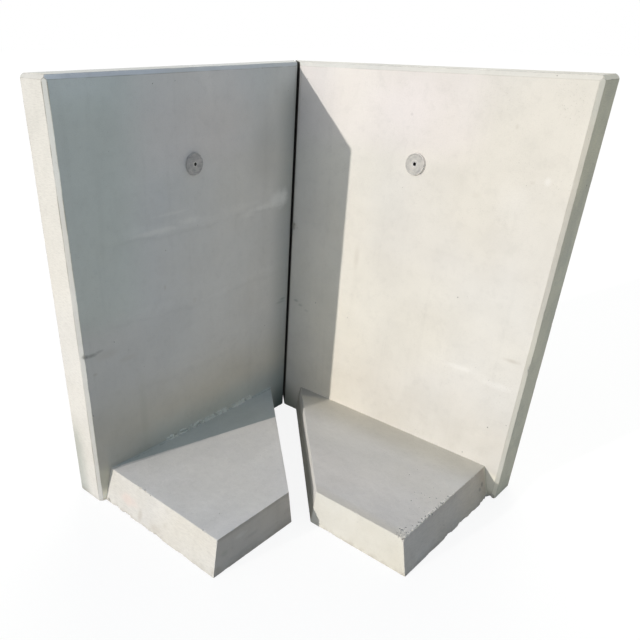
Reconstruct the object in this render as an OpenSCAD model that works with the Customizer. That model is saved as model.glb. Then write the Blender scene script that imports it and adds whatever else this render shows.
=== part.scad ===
// Corner of a precast concrete L-shaped retaining wall.
// Two handed L-units, each one casting of stem and foot, meet at a mitred joint and form
// a right angle. +Z is up, the ground is z = 0, and the origin is on the ground at the
// middle of the corner's square plan. The wall's outer corner is at -X +Y, the right unit
// runs along +X, the left unit along -Y, and the backfill side is between them.

/* [Stem] */
// Length of each unit along its outer face
unit_length = 1000; // [800:10:1500]
// Height of the wall
wall_height = 1200; // [900:10:1600]
// Thickness of the stem at the ground
stem_base_thickness = 115; // [90:1:180]
// How much thinner the stem is at its top, all taken off the inner face
stem_batter = 5; // [0:1:30]
// Chamfer on the exposed arrises of the stem
arris_chamfer = 10; // [4:1:20]

/* [Mitred joint] */
// Clear width of the joint between the two mitred ends
joint_width = 6.5; // [4:0.5:25]
// Small chamfer where the mitred end meets the inner face
joint_inner_chamfer = 3; // [1:0.5:12]
// Blunting of the sharp outer arris of the mitred end
joint_outer_blunt = 8; // [2:0.5:20]

/* [Foot] */
// Reach of the foot from the inner face of the stem to its toe, at the ground
foot_reach = 494; // [350:1:700]
// Thickness of the foot
foot_thickness = 106; // [80:1:160]
// How far the toe face leans back over the foot's thickness
toe_draft = 17; // [0:1:30]
// Distance from the stem's outer end to the foot, at the ground
foot_end_setback = 19; // [10:1:100]
// How far the foot's outer side leans back over the foot's thickness
foot_end_draft = 33; // [0:1:50]
// Distance along the wall from the inner corner to the foot's mitred side, at the ground
foot_mitre_setback = 66; // [30:1:120]
// Angle of the foot's mitred side from square to the wall
foot_mitre_angle = 43.5; // [35:0.5:45]
// How far the foot's mitred side leans back over the foot's thickness
foot_mitre_draft = 12; // [0:1:25]

/* [Lifting socket] */
// Distance from the stem's outer end to the socket's axis
socket_from_end = 443; // [200:1:700]
// Distance from the top of the wall down to the socket's axis
socket_from_top = 240; // [120:5:500]
// Outside diameter of the socket's sleeve
socket_diameter = 15; // [13:0.5:30]
// Diameter of the tapped bore
socket_bore = 8.5; // [6:0.1:12]
// Depth of the tapped bore from its mouth
socket_bore_depth = 40; // [20:1:45]
// Length of the socket from its mouth to its buried end
socket_length = 64; // [50:1:75]
// Diameter of the flange that anchors the buried end
anchor_flange_diameter = 30; // [22:1:50]
// Thickness of the anchoring flange
anchor_flange_thickness = 4; // [3:0.5:8]

/* [Socket plate] */
// Diameter of the round plate around the socket's mouth
plate_diameter = 60; // [40:1:90]
// How far the plate stands proud of the inner face, at its middle
plate_proud = 8; // [2:0.5:12]
// How deep the plate is let into the concrete, at its middle
plate_seat = 3; // [2:0.5:6]
// Chamfer round the plate's front edge
plate_edge_chamfer = 1.5; // [0.5:0.25:1.75]
// Clearance all round between the socket or plate and what it is cast or fitted into
cast_in_clearance = 0.05; // [0.02:0.01:0.2]

/* [Hidden] */

$fn = 96;
concrete = [0.84, 0.82, 0.77];
zinc = [0.55, 0.55, 0.54];
plate_grey = [0.62, 0.61, 0.58];

// Cutting solids run past the faces that they cut or bound by this much.
overrun = 50;

// Right unit: outer face, inner face at the ground, outer end and the middle of the joint.
outer_y = unit_length / 2;
inner_y = outer_y - stem_base_thickness;
end_x = unit_length / 2;
batter_angle = atan(stem_batter / wall_height);
toe_y = inner_y - foot_reach;

// Half the joint, measured along either wall.
joint_offset = joint_width / 2 * sqrt(2);
corner_x = joint_offset - outer_y;

// Foot's mitred side: where it starts at the inner face.
foot_mitre_x = -inner_y + foot_mitre_setback;

// Socket's axis, and the plane of the inner face where the axis crosses it.
socket_x = end_x - socket_from_end;
socket_z = wall_height - socket_from_top;
socket_face_y = inner_y_at(socket_z);
mouth_y = socket_face_y - plate_proud;

// The inner face leans outwards with height.
function inner_y_at(z) = inner_y + stem_batter * z / wall_height;

// Outline in (x, z), run along Y from y_low to y_high.
module along_y(outline, y_low, y_high)
    translate([0, y_high, 0])
        rotate([90, 0, 0])
            linear_extrude(height = y_high - y_low)
                polygon(outline);

// Outline in (y, z), run along X from x_low to x_high.
module along_x(outline, x_low, x_high)
    translate([x_low, 0, 0])
        rotate([90, 0, 90])
            linear_extrude(height = x_high - x_low)
                polygon(outline);

// Cross-section of the stem: upright outer face, battered inner face, chamfered top.
module stem_section()
    along_x([
        [inner_y, 0],
        [outer_y, 0],
        [outer_y, wall_height - arris_chamfer],
        [outer_y - arris_chamfer, wall_height],
        [inner_y_at(wall_height) + arris_chamfer, wall_height],
        [inner_y_at(wall_height - arris_chamfer), wall_height - arris_chamfer]
    ], corner_x - overrun, end_x + overrun);

// Elevation of the stem: the top arris of the outer end is chamfered.
module stem_elevation()
    along_y([
        [corner_x - overrun, 0],
        [end_x, 0],
        [end_x, wall_height - arris_chamfer],
        [end_x - arris_chamfer, wall_height],
        [corner_x - overrun, wall_height]
    ], inner_y - overrun, outer_y + overrun);

// Plan of the stem: mitred end with its blunted outer arris, chamfered outer end.
module stem_plan()
    linear_extrude(height = wall_height)
        polygon([
            [corner_x + joint_outer_blunt, outer_y],
            [end_x - arris_chamfer, outer_y],
            [end_x, outer_y - arris_chamfer],
            [end_x, inner_y - overrun],
            [joint_offset - inner_y + overrun, inner_y - overrun],
            [corner_x + joint_outer_blunt / 2, outer_y - joint_outer_blunt / 2]
        ]);

// The inner face and the arrises at both its ends, leaning with the batter.
module stem_inner_side()
    translate([0, inner_y, 0])
        rotate([-batter_angle, 0, 0])
            translate([0, 0, -overrun])
                linear_extrude(height = wall_height + 2 * overrun)
                    polygon([
                        [end_x - arris_chamfer, 0],
                        [end_x, arris_chamfer],
                        [end_x + overrun, arris_chamfer + overrun],
                        [end_x + overrun, stem_base_thickness + overrun],
                        [corner_x - overrun, stem_base_thickness + overrun],
                        [corner_x - overrun, joint_inner_chamfer],
                        [joint_offset - inner_y - joint_inner_chamfer / 2, joint_inner_chamfer / 2],
                        [joint_offset - inner_y + joint_inner_chamfer, 0]
                    ]);

module stem()
    intersection() {
        stem_section();
        stem_elevation();
        stem_plan();
        stem_inner_side();
    }

// Cross-section of the foot, which runs on into the stem.
module foot_section()
    along_x([
        [toe_y, 0],
        [inner_y_at(foot_thickness) + arris_chamfer, 0],
        [inner_y_at(foot_thickness) + arris_chamfer, foot_thickness],
        [toe_y + toe_draft, foot_thickness]
    ], corner_x, end_x);

// Elevation of the foot: the outer side leans back.
module foot_elevation()
    along_y([
        [corner_x, 0],
        [end_x - foot_end_setback, 0],
        [end_x - foot_end_setback - foot_end_draft, foot_thickness],
        [corner_x, foot_thickness]
    ], toe_y - overrun, outer_y);

// The leaning mitred side of the foot, seen along that side.
module foot_mitre()
    translate([foot_mitre_x, inner_y, 0])
        rotate([0, 0, foot_mitre_angle])
            along_y([
                [0, 0],
                [unit_length, 0],
                [unit_length, foot_thickness],
                [foot_mitre_draft, foot_thickness]
            ], -2 * foot_reach, stem_base_thickness);

module foot()
    intersection() {
        foot_section();
        foot_elevation();
        foot_mitre();
    }

// Revolved solid on the socket's axis. The outline is in (radius, depth behind the mouth).
module on_socket_axis(outline)
    translate([socket_x, mouth_y, socket_z])
        rotate([-90, 0, 0])
            rotate_extrude()
                polygon(outline);

// Sleeve and anchoring flange, grown by a clearance for the hole that they leave.
module socket_body(clearance, front)
    on_socket_axis([
        [0, front],
        [socket_diameter / 2 + clearance, front],
        [socket_diameter / 2 + clearance, socket_length - anchor_flange_thickness - clearance],
        [anchor_flange_diameter / 2 + clearance, socket_length - anchor_flange_thickness - clearance],
        [anchor_flange_diameter / 2 + clearance, socket_length + clearance],
        [0, socket_length + clearance]
    ]);

module unit() color(concrete)
    difference() {
        union() {
            stem();
            foot();
        }
        on_socket_axis([
            [0, -overrun],
            [plate_diameter / 2 + cast_in_clearance, -overrun],
            [plate_diameter / 2 + cast_in_clearance, plate_proud + plate_seat],
            [0, plate_proud + plate_seat]
        ]);
        socket_body(cast_in_clearance, -overrun);
    }

module lifting_socket() color(zinc)
    difference() {
        socket_body(0, 0);
        on_socket_axis([
            [0, -overrun],
            [socket_bore / 2, -overrun],
            [socket_bore / 2, socket_bore_depth],
            [0, socket_bore_depth]
        ]);
    }

module socket_plate() color(plate_grey)
    on_socket_axis([
        [socket_diameter / 2 + cast_in_clearance, 0],
        [plate_diameter / 2 - plate_edge_chamfer, 0],
        [plate_diameter / 2, plate_edge_chamfer],
        [plate_diameter / 2, plate_proud + plate_seat],
        [socket_diameter / 2 + cast_in_clearance, plate_proud + plate_seat]
    ]);

// The left hand is the right hand mirrored across the joint.
module left_hand()
    mirror([1, 1, 0])
        children();

unit();  // right_unit
left_hand() unit();  // left_unit
lifting_socket();  // right_lifting_socket
left_hand() lifting_socket();  // left_lifting_socket
socket_plate();  // right_socket_plate
left_hand() socket_plate();  // left_socket_plate
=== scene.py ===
"""Corner of a precast concrete L-shaped retaining wall, finished for rendering.

Two handed castings, each with a steel lifting socket and a round socket plate, take the
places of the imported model's nodes. Units are metres, +Z is up, the ground is z = 0 and the
wall's outer corner is at -X +Y. The right casting runs along +X, the left one along -Y.
"""
import math
import random
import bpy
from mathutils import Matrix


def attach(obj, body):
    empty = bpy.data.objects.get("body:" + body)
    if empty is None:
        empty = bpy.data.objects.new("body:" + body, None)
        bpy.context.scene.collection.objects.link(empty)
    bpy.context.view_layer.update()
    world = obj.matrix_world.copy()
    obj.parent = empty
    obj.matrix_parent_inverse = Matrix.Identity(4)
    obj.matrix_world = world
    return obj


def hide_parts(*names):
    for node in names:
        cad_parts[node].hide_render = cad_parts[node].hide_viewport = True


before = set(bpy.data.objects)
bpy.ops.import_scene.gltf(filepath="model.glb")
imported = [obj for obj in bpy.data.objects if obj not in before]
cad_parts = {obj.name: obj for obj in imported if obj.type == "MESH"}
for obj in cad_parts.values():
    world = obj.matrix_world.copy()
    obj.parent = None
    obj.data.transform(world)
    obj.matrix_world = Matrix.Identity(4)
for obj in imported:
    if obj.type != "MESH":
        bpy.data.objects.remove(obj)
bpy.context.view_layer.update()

from types import SimpleNamespace

import bmesh
import bpy
import numpy as np
from bpy.props import FloatProperty, FloatVectorProperty, PointerProperty
from mathutils import Matrix, Vector, noise
from mathutils.geometry import delaunay_2d_cdt

bl_info = {
    "name": "Retaining wall corner",
    "version": (1, 0, 0),
    "blender": (4, 5, 0),
    "location": "View3D > Sidebar > Wall corner",
    "description": "Finishes the castings, sockets, plates and stage of a retaining wall corner",
    "category": "Object",
}

MM = 0.001
BODY = "root"

# Each hand's casting is described in wall terms: along the wall from the middle of the
# corner's plan, out from the outer face towards the backfill, and up.
HALF_PLAN = 0.5
STEM_THICKNESS = 0.115
SOCKET_ALONG, SOCKET_UP = 0.057, 0.960
PLATE_FACE = 0.119
# Everything nearer the socket's axis than this belongs to the socket's seat.
SEAT_REACH = 31 * MM

# What the castings' points are marked with for the material.
MARKS = ("wear", "mortar", "strip", "crumbly")


def on_wall(hand, along, out, up):
    """Wall terms to a point in the row frame."""
    if hand == "right":
        return Vector((along, HALF_PLAN - out, up))
    return Vector((out - HALF_PLAN, -along, up))


def in_wall_terms(hand, points):
    """Row frame points, as rows of an array, to along, out and up."""
    x, y, z = points.T
    if hand == "right":
        return x, HALF_PLAN - y, z
    return -y, x + HALF_PLAN, z


def in_metres(terms):
    """A table row of middle and half sizes in millimetres, as two points in metres."""
    return [tuple(half) for half in np.array(terms).reshape(2, 3) * MM]


def socket_axis(hand):
    """Centre of the plate's front face, and the direction that it faces."""
    front = on_wall(hand, SOCKET_ALONG, PLATE_FACE, SOCKET_UP)
    return front, (on_wall(hand, 0, 1, 0) - on_wall(hand, 0, 0, 0)).normalized()


# Knocks on the arrises, in millimetres: middle in wall terms, half length and depth.
CHIPS = {
    "right": (
        (447, 588, 106, 9, 3), (447, 566, 106, 7, 2.2), (447, 520, 106, 12, 1.8),
        (447, 545, 106, 5, 2.6), (447, 492, 106, 6, 2.4), (447, 470, 106, 4, 1.8),
        (447, 444, 106, 7, 2.4), (447, 405, 106, 5, 2.2), (447, 372, 106, 6, 1.6),
        (481, 138, 0, 30, 11), (481, 225, 0, 16, 3), (481, 283, 0, 30, 5),
        (481, 371, 0, 20, 4.5), (481, 470, 0, 16, 2.5), (215, 609, 0, 26, 2.2),
        (500, 105, 462, 12, 1.6), (-379.5, 112.5, 708, 16, 3.5),
    ),
    "left": (
        (449, 258, 106, 7, 3.2), (449, 286, 106, 5, 2.2), (449, 540, 106, 6, 1.8),
        (481, 170, 0, 16, 6), (481, 222, 0, 18, 5.5), (481, 300, 0, 30, 3),
        (481, 364, 0, 30, 3.8), (481, 480, 0, 24, 2.6), (496, 113, 505, 10, 2.2),
        (-225, 110, 1195, 8, 2.2),
    ),
}

# Crumbly patches, in millimetres: middle in wall terms and half sizes; then their share.
CRUMBLY = {
    "right": (
        (445, 440, 106, 7, 165, 4, 0.9), (432, 573, 106, 17, 26, 4, 1.0),
        (420, 500, 106, 25, 90, 4, 0.14), (390, 400, 106, 50, 110, 4, 0.09),
        (300, 300, 106, 40, 70, 4, 0.07),
    ),
    "left": (
        (446, 270, 106, 4, 60, 4, 0.4), (446, 470, 106, 4, 120, 4, 0.2),
    ),
}

# Stains, in millimetres: middle in wall terms and half sizes; then colour and strength.
SOOT, UMBER = (0.10, 0.095, 0.085), (0.36, 0.31, 0.24)
ROSE, MOSS = (0.74, 0.56, 0.50), (0.36, 0.37, 0.30)
SLIME, SLATE = (0.12, 0.16, 0.14), (0.38, 0.38, 0.37)
CHALK, ROSY_CHALK = (0.84, 0.83, 0.80), (0.80, 0.74, 0.73)
STAINS = {
    "right": (
        (452, 113, 474, 30, 20, 8, UMBER, 0.30), (300, 113, 402, 70, 20, 10, CHALK, 0.26),
        (425, 113, 384, 60, 20, 14, CHALK, 0.28), (24, 112, 1086, 6, 20, 5, SOOT, 0.22),
        (324, 112, 1079, 6, 20, 8, UMBER, 0.18), (254, 112, 904, 20, 20, 12, UMBER, 0.08),
        (430, 112, 962, 10, 20, 12, CHALK, 0.30), (394, 112, 955, 10, 20, 6, UMBER, 0.10),
        (348, 112, 890, 60, 20, 70, CHALK, 0.12), (0, 112, 1110, 160, 20, 90, ROSY_CHALK, 0.30),
        (-110, 113, 655, 14, 20, 50, UMBER, 0.16), (-379, 112, 708, 4.5, 20, 16, SOOT, 0.85),
        (-350, 113, 444, 14, 20, 7, SLIME, 0.34), (-328, 113, 432, 12, 20, 6, SLIME, 0.26),
        (-300, 113, 418, 14, 20, 6, SLIME, 0.14), (464, 144, 58, 14, 10, 10, SOOT, 0.50),
        (466, 160, 48, 14, 9, 8, SOOT, 0.42),
    ),
    "left": (
        (486, 111, 503, 11, 20, 8, SOOT, 0.46), (466, 112, 501, 26, 20, 8, SOOT, 0.44),
        (438, 112, 505, 20, 20, 5, SOOT, 0.24), (415, 112, 488, 50, 20, 18, UMBER, 0.14),
        (-354, 113, 450, 20, 20, 6, SLIME, 0.38), (-342, 113, 440, 30, 20, 7, SLIME, 0.24),
        (-235, 112, 950, 85, 20, 120, SLATE, 0.26), (345, 112, 452, 40, 20, 12, UMBER, 0.12),
        (463, 112, 440, 10, 20, 6, UMBER, 0.28), (303, 114, 230, 20, 20, 190, MOSS, 0.15),
        (325, 114, 75, 60, 20, 50, MOSS, 0.18), (-316, 112, 806, 56, 20, 36, CHALK, 0.62),
        (-344, 112, 812, 20, 20, 34, CHALK, 0.45), (-245, 112, 792, 70, 20, 12, CHALK, 0.36),
        (-172, 112, 783, 40, 20, 14, CHALK, 0.22), (205, 112, 797, 110, 20, 11, CHALK, 0.34),
        (80, 112, 806, 55, 20, 11, CHALK, 0.26), (150, 112, 838, 80, 20, 6, CHALK, 0.18),
        (70, 113, 560, 10, 20, 12, UMBER, 0.12), (188, 113, 630, 6, 20, 10, UMBER, 0.20),
        (466, 221, 48, 16, 50, 26, ROSE, 0.34), (473, 281, 26, 14, 14, 30, UMBER, 0.34),
        (476, 355, 18, 14, 30, 18, UMBER, 0.22), (470, 391, 50, 14, 12, 12, UMBER, 0.18),
        (462, 602, 14, 22, 20, 18, UMBER, 0.40), (430, 600, 52, 20, 20, 14, MOSS, 0.34),
        (360, 598, 74, 30, 20, 10, CHALK, 0.18), (320, 598, 52, 40, 20, 8, SOOT, 0.12),
    ),
}

# Where one lift of concrete met the next: height, strength, and the stretch of wall.
POUR_LINES = {
    "right": [(0.395, 0.22, 0.18, 0.47), (0.735, 0.08, -0.4, 0.47), (0.960, 0.10, 0.1, 0.47)],
    "left": [(0.792, 0.26, -0.36, 0.40), (0.560, 0.15, -0.36, 0.45), (0.345, 0.10, -0.1, 0.45)],
}


# --- Sizes and colours that a user would change


class CastingSettings(bpy.types.PropertyGroup):
    arris_wear: FloatProperty(
        name="Arris wear", description="Depth to which every arris is worn",
        default=0.5 * MM, min=0.0, max=2 * MM, unit="LENGTH")
    chip_depth: FloatProperty(
        name="Chip depth", description="Depth of the deepest common chip on an arris",
        default=1.8 * MM, min=0.0, max=8 * MM, unit="LENGTH")
    waviness: FloatProperty(
        name="Waviness", description="How far the formed faces wander from a plane",
        default=0.35 * MM, min=0.0, max=2 * MM, unit="LENGTH")
    trowelling: FloatProperty(
        name="Trowelling", description="How far the trowelled foot wanders from a plane",
        default=0.8 * MM, min=0.0, max=3 * MM, unit="LENGTH")
    bead_size: FloatProperty(
        name="Mortar bead", description="Size of the rough bead left along the left foot",
        default=10.5 * MM, min=0.0, max=12 * MM, unit="LENGTH")
    holes_per_area: FloatProperty(
        name="Bug holes", description="Number of air holes on a square metre of face",
        default=95.0, min=0.0, max=600.0)
    hole_small: FloatProperty(
        name="Smallest hole", description="Radius of the smallest air hole",
        default=0.5 * MM, min=0.2 * MM, max=2 * MM, unit="LENGTH")
    hole_large: FloatProperty(
        name="Largest hole", description="Radius of the largest air hole",
        default=2.1 * MM, min=0.5 * MM, max=5 * MM, unit="LENGTH")
    pits_per_area: FloatProperty(
        name="Crumbled pits", description="Number of pits on a square metre where it crumbles",
        default=13000.0, min=0.0, max=30000.0)
    concrete: FloatVectorProperty(
        name="Concrete", description="Colour of the dry concrete",
        default=(0.650, 0.637, 0.605), min=0.0, max=1.0, size=3, subtype="COLOR")
    soil: FloatVectorProperty(
        name="Soil", description="Colour of the soil splashed on the lowest faces",
        default=(0.30, 0.25, 0.19), min=0.0, max=1.0, size=3, subtype="COLOR")


class SocketSettings(bpy.types.PropertyGroup):
    plate_colour: FloatVectorProperty(
        name="Plate", description="Colour of the socket plate under its cement film",
        default=(0.43, 0.42, 0.395), min=0.0, max=1.0, size=3, subtype="COLOR")
    zinc_colour: FloatVectorProperty(
        name="Zinc", description="Colour of the zinc on the lifting socket",
        default=(0.56, 0.56, 0.55), min=0.0, max=1.0, size=3, subtype="COLOR")
    thread_pitch: FloatProperty(
        name="Thread pitch", description="Distance from one thread to the next",
        default=1.5 * MM, min=0.5 * MM, max=3 * MM, unit="LENGTH")
    thread_length: FloatProperty(
        name="Thread length", description="How far the thread runs into the bore",
        default=27.0 * MM, min=6 * MM, max=36 * MM, unit="LENGTH")


class StageSettings(bpy.types.PropertyGroup):
    floor_colour: FloatVectorProperty(
        name="Floor", description="Colour of the floor as it lights the object",
        default=(0.60, 0.60, 0.59), min=0.0, max=1.0, size=3, subtype="COLOR")
    sky_colour: FloatVectorProperty(
        name="Fill", description="Colour of the soft light from all round",
        default=(0.66, 0.82, 1.0), min=0.0, max=1.0, size=3, subtype="COLOR")
    sky_strength: FloatProperty(
        name="Fill strength", description="Strength of the soft light from all round",
        default=0.367, min=0.0, max=3.0)
    key_strength: FloatProperty(
        name="Key strength", description="Strength of the key lamp",
        default=2.33, min=0.0, max=8.0)
    key_softness: FloatProperty(
        name="Key softness", description="Angle that the key lamp fills",
        default=math.radians(0.6), min=0.0, max=math.radians(40), subtype="ANGLE")
    glow_strength: FloatProperty(
        name="Glow strength", description="Strength of the broad lamp above the key lamp",
        default=0.685, min=0.0, max=4.0)
    back_strength: FloatProperty(
        name="Back strength", description="Strength of the broad lamp behind the wall",
        default=2.21, min=0.0, max=4.0)


# --- Arithmetic on node sockets


class Value:
    """A node's output that can be used in sums, each of which adds its Math node."""

    def __init__(self, tree, socket=None):
        self.tree = tree
        self.socket = socket

    def node(self, kind, settings=None, inputs=None, output=0):
        """Add a node: its settings first, then the values or links of its sockets."""
        made = self.tree.nodes.new(kind)
        for name, value in (settings or {}).items():
            setattr(made, name, value)
        for key, value in (inputs or {}).items():
            if isinstance(value, Value):
                self.tree.links.new(value.socket, made.inputs[key])
            else:
                made.inputs[key].default_value = value
        return Value(self.tree, made.outputs[output] if len(made.outputs) else None)

    def sum(self, operation, first, second):
        """A Math node on two values, either of which may be a plain number."""
        return self.node("ShaderNodeMath", {"operation": operation}, {0: first, 1: second})

    def __add__(self, other):
        return self.sum("ADD", self, other)

    def __radd__(self, other):
        return self.sum("ADD", other, self)

    def __sub__(self, other):
        return self.sum("SUBTRACT", self, other)

    def __rsub__(self, other):
        return self.sum("SUBTRACT", other, self)

    def __mul__(self, other):
        return self.sum("MULTIPLY", self, other)

    def __rmul__(self, other):
        return self.sum("MULTIPLY", other, self)

    def __pow__(self, other):
        return self.sum("POWER", self, other)

    def at_most(self, other):
        return self.sum("MINIMUM", self, other)

    def size(self):
        return self.node("ShaderNodeMath", {"operation": "ABSOLUTE"}, {0: self})

    def rise(self, low, high):
        """0 below low and 1 above high, with a soft step between; high may be the lower."""
        settings = {"interpolation_type": "SMOOTHSTEP"}
        if low < high:
            limits = {0: self, 1: low, 2: high, 3: 0.0, 4: 1.0}
        else:
            limits = {0: self, 1: high, 2: low, 3: 1.0, 4: 0.0}
        return self.node("ShaderNodeMapRange", settings, limits)

    def vector(self, operation, other, output=0):
        """Vector Math on this vector and another, which may be a plain tuple."""
        inputs = {0: self} if other is None else {0: self, 1: other}
        return self.node("ShaderNodeVectorMath", {"operation": operation}, inputs, output)

    def grain(self, scale, detail=3.0, roughness=0.55):
        """Noise on this vector, so many times a metre, which may differ each way."""
        place = self
        if isinstance(scale, tuple):
            place, scale = self.vector("MULTIPLY", scale), 1.0
        return self.node("ShaderNodeTexNoise", None, {
            "Vector": place, "Scale": scale, "Detail": detail, "Roughness": roughness})

    def cells(self, scale, output="Distance"):
        """How far the nearest of many scattered points is, or its colour."""
        return self.node("ShaderNodeTexVoronoi", {"feature": "F1"},
                         {"Vector": self, "Scale": scale, "Randomness": 1.0}, output)

    def blend(self, share, other, mode="MIX"):
        """This colour with a share of another laid over it."""
        return self.node("ShaderNodeMix", {"data_type": "RGBA", "blend_type": mode},
                         {0: share, 6: self, 7: other}, 2)

    def tint(self, *layers):
        """This colour times each layer's gains, or its one gain, where its share is 1."""
        colour = self
        for share, gains in layers:
            channels = gains if isinstance(gains, tuple) else (gains,) * 3
            colour = colour.blend(share, (*channels, 1.0), "MULTIPLY")
        return colour

    def coats(self, *layers):
        """This colour under each layer's, which covers it where its share is 1."""
        colour = self
        for share, over in layers:
            colour = colour.blend(share, opaque(over))
        return colour


def opaque(colour):
    """A colour with its alpha."""
    return (*colour, 1.0)


def toned(colour, *gains):
    """A colour times one gain for each channel, or one for all."""
    return tuple(c * g for c, g in zip(colour, gains * 3))


class Finish(Value):
    """A new material and the places that its patterns are measured from."""

    def __init__(self, name):
        self.material = bpy.data.materials.new(name)
        self.material.use_nodes = True
        tree = self.material.node_tree
        tree.nodes.clear()
        super().__init__(tree)
        self.place = self.node("ShaderNodeTexCoord", None, None, "Object")

    def parts(self, vector):
        """The three numbers of a vector."""
        split = self.node("ShaderNodeSeparateXYZ", None, {0: vector})
        return [Value(self.tree, s) for s in split.socket.node.outputs]

    def joined(self, x, y, z):
        return self.node("ShaderNodeCombineXYZ", None, {0: x, 1: y, 2: z})

    def constant(self, colour):
        """A plain colour as the start of a blend."""
        return self.node("ShaderNodeMix", {"data_type": "RGBA"},
                         {0: 0.0, 6: opaque(colour), 7: opaque(colour)}, 2)

    def surface(self, colour, roughness, height, depth, settings=None, metallic=0.0):
        """The material's shader, with a bump as deep as depth where height is 1."""
        bump = self.node("ShaderNodeBump", None,
                         {"Strength": 1.0, "Distance": depth, "Height": height})
        shader = self.node("ShaderNodeBsdfPrincipled", None, {
            "Base Color": colour, "Roughness": roughness, "Metallic": metallic,
            "Normal": bump, **(settings or {})})
        self.node("ShaderNodeOutputMaterial", None, {"Surface": shader})
        return self.material


# --- Materials

# A mask is a product of soft steps. Along, out and up step between places in metres, the
# noises between levels from 0 to 1, and the facings between cosines.


def wall_place(made, hand):
    """Along, out and up in wall terms, and all three as one vector."""
    x, y, up = made.parts(made.place)
    if hand == "right":
        along, out = x, HALF_PLAN - y
    else:
        along, out = 0.0 - y, x + HALF_PLAN
    return along, out, up, made.joined(along, out, up)


def wall_facing(made, hand):
    """How far the surface faces along, out and up in wall terms, each from -1 to 1."""
    x, y, up = made.parts(made.node("ShaderNodeNewGeometry", None, None, "Normal"))
    if hand == "right":
        return x, 0.0 - y, up
    return 0.0 - y, x, up


# Where each hand's patterns start, so that the two castings aren't alike.
PATTERN_SHIFT = {"right": (3.7, 1.9, 0.0), "left": (-8.3, 5.1, 2.0)}


def casting_masks(made, hand):
    """A casting's coordinates, patterns and marks, and a mask for each kind of face."""
    along, out, up, place = wall_place(made, hand)
    facing_end, facing_out, facing_up = wall_facing(made, hand)
    marks = {name: made.node("ShaderNodeAttribute", {"attribute_name": name}, None, "Fac")
             for name in MARKS}
    spot = place.vector("ADD", PATTERN_SHIFT[hand])
    blotch = spot.grain(7.0, 5.0, 0.62)
    mottle = spot.grain(38.0, 4.0, 0.6)
    upward = facing_up.rise(0.75, 0.95)
    outward = facing_out.rise(0.75, 0.92)
    outer_end = facing_end.rise(0.80, 0.92)
    half_end, half_out, half_up = (
        facing.rise(0.50, 0.62) for facing in (facing_end, facing_out, facing_up))
    past_stem = out.rise(0.120, 0.130)
    inner_face = outward * out.rise(0.135, 0.125)
    gap = along + HALF_PLAN - out
    return SimpleNamespace(
        along=along, out=out, up=up, place=place, spot=spot, **marks,
        cloud=spot.grain(1.7, 3.0, 0.5), blotch=blotch, mottle=mottle,
        stone=spot.grain(160.0, 3.0, 0.6), sand=spot.grain(420.0, 2.0, 0.5),
        grit=spot.grain(1500.0, 1.0, 0.5),
        runs=spot.grain((26.0, 26.0, 1.3), 4.0, 0.6),
        smears=spot.grain((2.2, 2.2, 16.0), 4.0, 0.6),
        upward=upward, upright=1.0 - upward,
        inner_face=inner_face, beside_foot=inner_face * along.rise(0.450, 0.464),
        toe=outward * out.rise(0.4, 0.5), foot_top=upward * up.rise(0.16, 0.13),
        outer_end=outer_end, foot_end=outer_end * past_stem,
        stem_end=outer_end * (1.0 - past_stem), past_stem=past_stem,
        end_chamfer=half_end * half_out, top_chamfer=half_up * half_out,
        half_end=half_end, half_up=half_up, top_face=upward * up.rise(1.190, 1.198),
        mitred=facing_end.rise(-0.45, -0.60), gap=gap,
        ragged_gap=gap + (blotch - 0.5) * 0.05 + (mottle - 0.5) * 0.02)


def formed_skin(colour, on):
    """Cloudy cement skin, with runs and smears down the upright faces."""
    return colour.tint(
        (on.cloud.rise(0.42, 0.66) * 0.50, (1.02, 1.0, 0.94)),
        (on.cloud.rise(0.50, 0.30) * 0.45, (0.94, 0.97, 1.01)),
        (on.blotch.rise(0.44, 0.66) * 0.28, 0.87),
        (on.blotch.rise(0.50, 0.32) * 0.28, 1.08),
        (on.mottle.rise(0.50, 0.68) * 0.14, 0.78),
        (on.runs.rise(0.56, 0.72) * on.upright * 0.09, 0.72),
        (on.runs.rise(0.42, 0.28) * on.upright * 0.10, 1.12),
        (on.smears.rise(0.58, 0.74) * on.upright * 0.14, 1.12))


def trowel_marks_and_top_light(colour, on, hand):
    """The trowelled foot is painted paler, standing in for light from above, and on the left
    cooler, with soft sweeps of the float.
    """
    sweep = on.spot.grain((5.0, 14.0, 1.0), 5.0, 0.65)
    return colour.tint(
        # Painted light: the foot tops are lighter, the left one also bluer, for light from
        # above.
        (on.foot_top, (1.11, 1.09, 1.08) if hand == "right" else (1.18, 1.175, 1.21)),
        (on.foot_top * sweep.rise(0.44, 0.66) * 0.30, 0.88),
        (on.foot_top * sweep.rise(0.48, 0.30) * 0.30, 1.09),
        (on.foot_top * on.blotch.rise(0.56, 0.66) * 0.40, (1.10, 1.09, 1.10)),
        (on.foot_top * on.mottle.rise(0.44, 0.32) * 0.30, 0.88))


def pour_lines(colour, on, hand):
    """Pale laitance over each pour line and a dark seam under it, and their relief."""
    wander = on.spot.grain((4.0, 4.0, 1.0), 3.0, 0.6)
    breaks = on.spot.grain((9.0, 9.0, 30.0), 3.0, 0.6)
    relief = on.mottle * 0.25
    for height, strength, start, stop in POUR_LINES[hand]:
        above = on.up - height - (wander - 0.5) * 0.075
        stretch = (on.along.rise(start - 0.06, start + 0.10)
                   * on.along.rise(stop + 0.02, stop - 0.10))
        pale = (above - 0.012).size().rise(0.024, 0.002) * stretch * breaks.rise(0.36, 0.60)
        seam = (above + 0.010).size().rise(0.009, 0.0005) * stretch * breaks.rise(0.56, 0.42)
        colour = colour.tint((pale * on.upright * strength, 1.18),
                             (seam * on.upright * (strength * 0.6), 0.70))
        relief = relief + pale * (0.4 * strength)
    return colour, relief


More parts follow.
